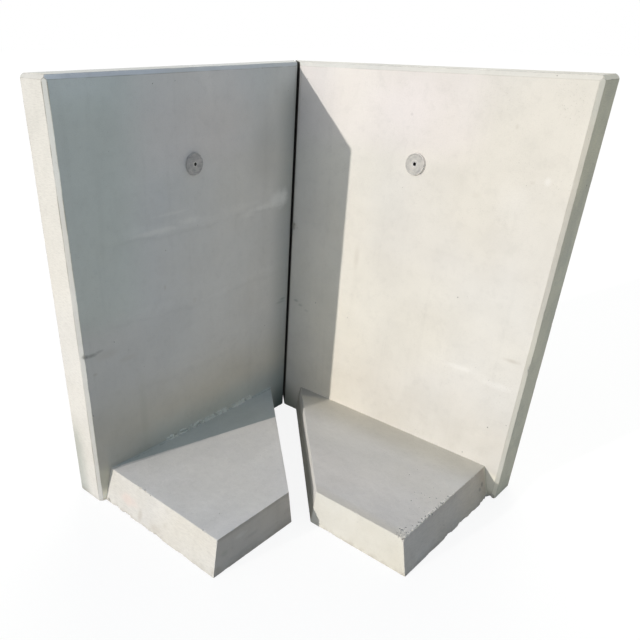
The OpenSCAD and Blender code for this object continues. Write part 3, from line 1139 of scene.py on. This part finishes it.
def hole_points(start, given):
    """Points for the air holes, spread apart, and for the pits of the crumbly patches."""
    place = start.node("GeometryNodeInputPosition")
    height = start.node("ShaderNodeSeparateXYZ", None, {0: place}, 2)
    off_plate = place.vector("DISTANCE", given["Plate middle"], 1).rise(*OFF_PLATE)
    groups = place.grain(8.0, 3.0, 0.6).rise(0.36, 0.66) * 0.8 + 0.2
    share = groups * off_plate * height.rise(*OFF_GROUND)
    holes = start.node(
        "GeometryNodeDistributePointsOnFaces", {"distribute_method": "POISSON"},
        {"Mesh": given["Casting"], "Distance Min": HOLE_SPACING, "Seed": given["Seed"],
         "Density Max": given["Holes per area"], "Density Factor": share})
    crumbly = start.node("GeometryNodeInputNamedAttribute", {"data_type": "FLOAT"},
                         {"Name": "crumbly"})
    pits = start.node("GeometryNodeDistributePointsOnFaces", {"distribute_method": "RANDOM"},
                      {"Mesh": given["Casting"], "Seed": given["Seed"],
                       "Density": given["Crumbled pits per area"] * crumbly})
    return holes, pits


def sunk_balls(points, radius, ball, sink):
    """A ball on each point, sunk by a share of its radius that sink, from 0 to 1, sets."""
    scatter = points.socket.node
    facing, turn = (Value(points.tree, scatter.outputs[n]) for n in ("Normal", "Rotation"))
    inward = facing.node("ShaderNodeVectorMath", {"operation": "SCALE"},
                         {0: facing, "Scale": radius * (sink * 0.75 - 0.45)})
    moved = points.node("GeometryNodeSetPosition", None,
                        {"Geometry": points, "Offset": inward})
    placed = moved.node("GeometryNodeInstanceOnPoints", None, {
        "Points": moved, "Instance": ball, "Rotation": turn, "Scale": radius})
    return placed.node("GeometryNodeRealizeInstances", None, {0: placed})


def bug_hole_tree():
    """Geometry Nodes that scatter air holes over a casting and cut them out of it."""
    tree = bpy.data.node_groups.new("bug_holes", "GeometryNodeTree")
    sockets = tree.interface
    for kind, names in (
            ("Geometry", ("Casting",)),
            ("Float", ("Holes per area", "Smallest radius", "Largest radius",
                       "Crumbled pits per area")),
            ("Int", ("Seed",)), ("Vector", ("Plate middle",)),
            ("Material", ("Concrete", "Void"))):
        for name in names:
            sockets.new_socket(name, in_out="INPUT", socket_type="NodeSocket" + kind)
    sockets.new_socket("Casting", in_out="OUTPUT", socket_type="NodeSocketGeometry")
    start = Value(tree)
    group = start.node("NodeGroupInput").socket.node
    given = {s.name: Value(tree, s) for s in group.outputs if s.name}

    hole_places, pit_places = hole_points(start, given)
    draw, sink = (start.node("FunctionNodeRandomValue", {"data_type": "FLOAT"},
                             {"Seed": seed}, 1) for seed in (given["Seed"], SINK_SEED))
    ball = start.node("GeometryNodeMeshUVSphere", None,
                      {"Radius": 1.0, "Segments": HOLE_SEGMENTS, "Rings": HOLE_RINGS})
    ball = ball.node("GeometryNodeSetMaterial", None, {0: ball, "Material": given["Void"]})
    span = given["Largest radius"] - given["Smallest radius"]
    holes = sunk_balls(hole_places, given["Smallest radius"] + span * draw ** 4.0, ball, sink)
    pits = sunk_balls(pit_places, (draw * draw * 1.9 + 0.8) * MM, ball, sink)
    balls = holes.node("GeometryNodeJoinGeometry", None, {0: holes})
    tree.links.new(pits.socket, balls.socket.node.inputs[0])

    body = given["Casting"].node("GeometryNodeSetMaterial", None, {
        0: given["Casting"], "Material": given["Concrete"]})
    cut = body.node("GeometryNodeMeshBoolean", {"operation": "DIFFERENCE", "solver": "MANIFOLD"},
                    {0: body, 1: balls})
    whole = cut.node("GeometryNodeRealizeInstances", None, {0: cut})
    void = whole.node("GeometryNodeMaterialSelection", None, {"Material": given["Void"]})
    whole = whole.node("GeometryNodeSetMaterial", None, {
        0: whole, "Selection": void, "Material": given["Void"]})
    whole.node("NodeGroupOutput", None, {0: whole})
    return tree


def run_nodes(piece, tree, values):
    """Apply a Geometry Nodes tree to a piece and keep its result as a plain mesh."""
    modifier = piece.modifiers.new(tree.name, "NODES")
    modifier.node_group = tree
    for item in tree.interface.items_tree:
        if item.in_out == "INPUT" and item.name in values:
            modifier[item.identifier] = values[item.name]
    graph = bpy.context.evaluated_depsgraph_get()
    mesh = bpy.data.meshes.new_from_object(
        piece.evaluated_get(graph), preserve_all_data_layers=True, depsgraph=graph)
    piece.modifiers.remove(modifier)
    old, piece.data = piece.data, mesh
    bpy.data.meshes.remove(old)
    mesh.name = piece.name


class WALLCORNER_OT_castings(bpy.types.Operator):
    """Make the right and left concrete castings, worn and pitted"""
    bl_idname = "wallcorner.castings"
    bl_label = "Castings"

    def execute(self, context):
        settings = context.scene.wallcorner_casting
        tree = bug_hole_tree()
        for seed, hand in enumerate(("right", "left"), 11):
            casting = Casting(hand, hand + "_unit", seed)
            casting.undulate(settings.waviness, settings.trowelling, seed)
            casting.fill_creases(settings.bead_size, seed)
            casting.break_arrises(settings.arris_wear, settings.chip_depth, seed)
            casting.crumble()
            piece = casting.as_object(hand + "_casting")
            run_nodes(piece, tree, {
                "Holes per area": settings.holes_per_area,
                "Smallest radius": settings.hole_small,
                "Largest radius": settings.hole_large,
                "Crumbled pits per area": settings.pits_per_area,
                "Seed": seed,
                "Plate middle": tuple(socket_axis(hand)[0]),
                "Concrete": concrete_finish(hand, settings),
                "Void": void_finish(hand, settings),
            })
            smooth(piece.data, 30)
            check_closed(piece)
            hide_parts(hand + "_unit")
            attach(piece, BODY)
        return {"FINISHED"}


# --- Lifting sockets and their plates

# Outlines that are turned on the socket's axis: radius and depth in millimetres.
# The plate's runs from the hole round the sleeve, over a raised collar and a shallow groove,
# to the rim, then down the edge to the seat.
PLATE_OUTLINE = (
    (7.55, 11.0), (7.55, 0.5), (7.75, 0.15), (8.3, 0.0), (11.2, 0.0), (11.9, 0.25),
    (12.3, 0.8), (14.5, 0.85), (18.0, 0.7), (22.5, 0.7), (23.3, 0.9), (23.9, 1.3),
    (24.9, 1.3), (25.5, 0.9), (26.2, 0.35), (27.4, 0.15), (28.5, 0.15), (29.2, 0.45),
    (29.75, 1.0), (30.0, 1.9), (30.0, 4.2), (30.0, 6.5), (30.0, 8.5), (30.0, 11.0),
    (22.0, 11.0), (14.0, 11.0),
)
# The sleeve's has its thread between the mouth and the rest, which runs down the bore,
# across its end, over the anchoring flange and back up the outside.
SLEEVE_MOUTH = ((5.6, 0.0), (5.0, 0.35))
BORE_RADIUS = 4.25
SLEEVE_REST = (
    (BORE_RADIUS, 36.0), (BORE_RADIUS, 40.0), (2.0, 41.2), (0.0, 41.4), (0.0, 64.0),
    (8.0, 64.0), (14.2, 64.0), (15.0, 63.2), (15.0, 60.8), (14.2, 60.0), (8.3, 60.0),
    (7.5, 59.2), (7.5, 30.0), (7.5, 6.0), (7.5, 0.5), (7.0, 0.0),
)
PLATE_SIDES, SLEEVE_SIDES = 120, 48
TURNED_WELD = 0.002 * MM

# What lies less deep than this is a plate's front. It bends from RIM_START outwards, and
# the nicks bite into it from EDGE_START outwards.
FRONT_DEPTH = 3 * MM
RIM_START, RIM_WIDTH = 24 * MM, 5 * MM
EDGE_START, NICKS = 28 * MM, 7

# The thread's points start at FIRST_ROW_DEPTH. It fades in from THREAD_START and out at
# THREAD_STOP, each over one pitch.
ROWS_PER_PITCH = 6
THREAD_DEPTH, FIRST_ROW_DEPTH = 0.62 * MM, 1.2 * MM
THREAD_START, THREAD_STOP = 1.1 * MM, 30 * MM


def scaled(outline):
    """An outline in millimetres, in metres."""
    return [(radius * MM, depth * MM) for radius, depth in outline]


def turned(name, hand, outline, sides, wobble):
    """A closed solid turned on the socket's axis from a loop of (radius, depth) points.

    wobble(angle, radius, depth), all in metres, gives each point its place."""
    front, facing = socket_axis(hand)
    aside = Vector((0, 0, 1))
    over = facing.cross(aside)
    bm = bmesh.new()
    rings = []
    for i in range(sides):
        angle = math.tau * i / sides
        spoke = aside * math.cos(angle) + over * math.sin(angle)
        ring = []
        for point in outline:
            radius, depth = wobble(angle, *point)
            ring.append(bm.verts.new(front + spoke * radius - facing * depth))
        rings.append(ring)
    count = len(outline)
    for i, ring in enumerate(rings):
        other = rings[(i + 1) % sides]
        for j in range(count):
            k = (j + 1) % count
            bm.faces.new((ring[j], ring[k], other[k], other[j]))
    bmesh.ops.remove_doubles(bm, verts=bm.verts, dist=TURNED_WELD)
    on_axis = [e for e in bm.edges if not e.link_faces]
    bmesh.ops.delete(bm, geom=on_axis, context="EDGES")
    bmesh.ops.recalc_face_normals(bm, faces=bm.faces)
    if bm.calc_volume(signed=True) < 0:
        bmesh.ops.reverse_faces(bm, faces=bm.faces)
    mesh = bpy.data.meshes.new(name)
    bm.to_mesh(mesh)
    bm.free()
    smooth(mesh, 40)
    return place_in_scene(name, mesh)


class WALLCORNER_OT_plates(bpy.types.Operator):
    """Make the round plate that surrounds each lifting socket's mouth"""
    bl_idname = "wallcorner.plates"
    bl_label = "Socket plates"

    def execute(self, context):
        settings = context.scene.wallcorner_socket
        for seed, hand in enumerate(("right", "left"), 31):
            draw = random.Random(seed)
            nicks = [(draw.uniform(0, math.tau), draw.uniform(0.05, 0.16),
                      draw.uniform(0.4, 1.3) * MM) for _ in range(NICKS)]

            def wobble(angle, radius, depth):
                turn = Vector((math.cos(angle), math.sin(angle), seed))
                wave = noise.fractal(turn * 1.6, 1.0, 2.0, 3)
                rim = max(0.0, min(1.0, (radius - RIM_START) / RIM_WIDTH))
                front = 1.0 if depth < FRONT_DEPTH else 0.0
                for middle, half, bite in nicks:
                    apart = abs((angle - middle + math.pi) % math.tau - math.pi) / half
                    if apart < 1 and front and radius > EDGE_START:
                        radius -= bite * (1 - apart ** 2)
                        depth += 0.6 * bite * (1 - apart ** 2)
                fine = noise.noise(Vector((radius * 260, angle * 5, seed)))
                lift = front * (0.10 * MM * fine + 0.18 * MM * rim * wave)
                return radius - front * rim * 0.12 * MM * abs(wave), max(0.0, depth + lift)

            piece = turned(hand + "_plate", hand, scaled(PLATE_OUTLINE), PLATE_SIDES, wobble)
            piece.data.materials.append(plate_finish(hand, settings))
            check_closed(piece)
            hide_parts(hand + "_socket_plate")
            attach(piece, BODY)
        return {"FINISHED"}


class WALLCORNER_OT_sockets(bpy.types.Operator):
    """Make the tapped steel lifting socket cast into each unit"""
    bl_idname = "wallcorner.sockets"
    bl_label = "Lifting sockets"

    def execute(self, context):
        settings = context.scene.wallcorner_socket
        pitch, length = settings.thread_pitch, settings.thread_length
        core = BORE_RADIUS * MM
        rows = round(length / pitch * ROWS_PER_PITCH)
        thread = [(core, FIRST_ROW_DEPTH + length * i / rows) for i in range(rows + 1)]
        outline = scaled(SLEEVE_MOUTH) + thread + scaled(SLEEVE_REST)

        def cut_thread(angle, radius, depth):
            if radius != core or not THREAD_START < depth < THREAD_STOP:
                return radius, depth
            phase = (depth / pitch - angle / math.tau) % 1.0
            ridge = abs(2 * phase - 1)
            fade = min(1.0, (depth - THREAD_START) / pitch, (THREAD_STOP - depth) / pitch)
            return radius + THREAD_DEPTH * max(0.0, 1 - 1.3 * ridge) * fade, depth

        for hand in ("right", "left"):
            piece = turned(hand + "_socket_sleeve", hand, outline, SLEEVE_SIDES, cut_thread)
            piece.data.materials.append(zinc_finish(hand, settings))
            check_closed(piece)
            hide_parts(hand + "_lifting_socket")
            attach(piece, BODY)
        return {"FINISHED"}


# --- Stage

# The camera stands on the backfill side, 1.29 m above the ground, and looks down.
CAMERA_PLACE = (1.0493, -1.3586, 1.2905)
CAMERA_TURN = math.radians(44.270)
CAMERA_DIP = math.radians(31.237)
CAMERA_ROLL = math.radians(0.122)
CAMERA_LENS = 36.313
CAMERA_SHIFT = (0.1313, 0.1546)

# The direction towards each lamp, and its colour.
LAMPS = {
    "key": ((-0.239, -0.943, 0.232), (1.0, 0.948, 0.898)),
    "glow": ((-0.205, -0.793, 0.574), (1.0, 0.949, 0.905)),
    "back": ((-0.45, 0.72, 0.55), (1.0, 0.937, 0.776)),
}
GLOW_ANGLE, BACK_ANGLE = math.radians(60), math.radians(50)
LAMP_DISTANCE = 4

FLOOR_REACH, FLOOR_LEVEL = 40.0, -0.4 * MM
WHITE = (1, 1, 1, 1)
# How much of the floor's look to the camera is plain white, and how bright that white is.
FLOOR_WHITE, FLOOR_GLOW = 0.76, 1.16


def sun_lamp(name, strength, angle):
    """A lamp that shines from its direction; where it stands makes no difference."""
    towards, colour = LAMPS[name]
    lamp = bpy.data.lights.new(name, "SUN")
    lamp.energy = strength
    lamp.angle = angle
    lamp.color = colour
    direction = Vector(towards)
    holder = place_in_scene(name, lamp)
    holder.rotation_euler = direction.to_track_quat("Z", "Y").to_euler()
    holder.location = direction.normalized() * LAMP_DISTANCE


def seen_share(made):
    """1 for rays that show the background: straight, mirrored or through glass."""
    path = made.node("ShaderNodeLightPath").socket.node.outputs
    seen = Value(made.tree, path["Is Camera Ray"]) + Value(made.tree, path["Is Glossy Ray"])
    return (seen + Value(made.tree, path["Is Transmission Ray"])).at_most(1.0)


class WALLCORNER_OT_stage(bpy.types.Operator):
    """Make the floor, the fill light, the lamps and the camera"""
    bl_idname = "wallcorner.stage"
    bl_label = "Stage"

    def execute(self, context):
        settings = context.scene.wallcorner_stage
        scene = context.scene

        mesh = bpy.data.meshes.new("floor")
        mesh.from_pydata([(x * FLOOR_REACH, y * FLOOR_REACH, FLOOR_LEVEL)
                          for x, y in ((-1, -1), (1, -1), (1, 1), (-1, 1))],
                         [], [(0, 1, 2, 3)])
        floor = place_in_scene("floor", mesh)
        made = Finish("floor")
        shader = made.node("ShaderNodeBsdfDiffuse", None, {0: opaque(settings.floor_colour)})
        white = made.node("ShaderNodeEmission", None, {0: WHITE, 1: FLOOR_GLOW})
        mixed = made.node("ShaderNodeMixShader", None,
                          {0: seen_share(made) * FLOOR_WHITE, 1: shader, 2: white})
        made.node("ShaderNodeOutputMaterial", None, {0: mixed})
        mesh.materials.append(made.material)

        world = bpy.data.worlds.new("fill")
        world.use_nodes = True
        world.node_tree.nodes.clear()
        sky = Value(world.node_tree)
        fill = sky.node("ShaderNodeBackground", None, {
            0: opaque(settings.sky_colour), 1: settings.sky_strength})
        backdrop = sky.node("ShaderNodeBackground", None, {0: WHITE, 1: 1.0})
        both = sky.node("ShaderNodeMixShader", None, {0: seen_share(sky), 1: fill, 2: backdrop})
        sky.node("ShaderNodeOutputWorld", None, {0: both})
        scene.world = world

        sun_lamp("key", settings.key_strength, settings.key_softness)
        sun_lamp("glow", settings.glow_strength, GLOW_ANGLE)
        sun_lamp("back", settings.back_strength, BACK_ANGLE)

        lens = bpy.data.cameras.new("camera")
        lens.lens = CAMERA_LENS
        lens.sensor_width = 36.0
        lens.shift_x, lens.shift_y = CAMERA_SHIFT
        lens.clip_end = 200.0
        camera = place_in_scene("camera", lens)
        camera.matrix_world = (
            Matrix.Translation(CAMERA_PLACE) @ Matrix.Rotation(CAMERA_TURN, 4, "Z")
            @ Matrix.Rotation(math.pi / 2 - CAMERA_DIP, 4, "X")
            @ Matrix.Rotation(CAMERA_ROLL, 4, "Z"))
        scene.camera = camera
        scene.view_settings.view_transform = "Standard"
        return {"FINISHED"}


# --- Add-on


class WALLCORNER_PT_panel(bpy.types.Panel):
    """Lists the steps that build the wall corner"""
    bl_label = "Retaining wall corner"
    bl_idname = "WALLCORNER_PT_panel"
    bl_space_type = "VIEW_3D"
    bl_region_type = "UI"
    bl_category = "Wall corner"

    def draw(self, context):
        layout = self.layout
        for settings, steps in (
                (context.scene.wallcorner_casting, ("castings",)),
                (context.scene.wallcorner_socket, ("plates", "sockets")),
                (context.scene.wallcorner_stage, ("stage",))):
            box = layout.box()
            for name in settings.bl_rna.properties.keys():
                if name not in ("rna_type", "name"):
                    box.prop(settings, name)
            for step in steps:
                box.operator("wallcorner." + step)


CLASSES = (
    CastingSettings, SocketSettings, StageSettings,
    WALLCORNER_OT_castings, WALLCORNER_OT_plates, WALLCORNER_OT_sockets,
    WALLCORNER_OT_stage, WALLCORNER_PT_panel,
)


def register():
    for cls in CLASSES:
        bpy.utils.register_class(cls)
    bpy.types.Scene.wallcorner_casting = PointerProperty(type=CastingSettings)
    bpy.types.Scene.wallcorner_socket = PointerProperty(type=SocketSettings)
    bpy.types.Scene.wallcorner_stage = PointerProperty(type=StageSettings)


def unregister():
    del bpy.types.Scene.wallcorner_stage
    del bpy.types.Scene.wallcorner_socket
    del bpy.types.Scene.wallcorner_casting
    for cls in reversed(CLASSES):
        bpy.utils.unregister_class(cls)


def main():
    register()
    bpy.ops.wallcorner.stage()
    bpy.ops.wallcorner.castings()
    bpy.ops.wallcorner.plates()
    bpy.ops.wallcorner.sockets()


if __name__ == "__main__":
    main()
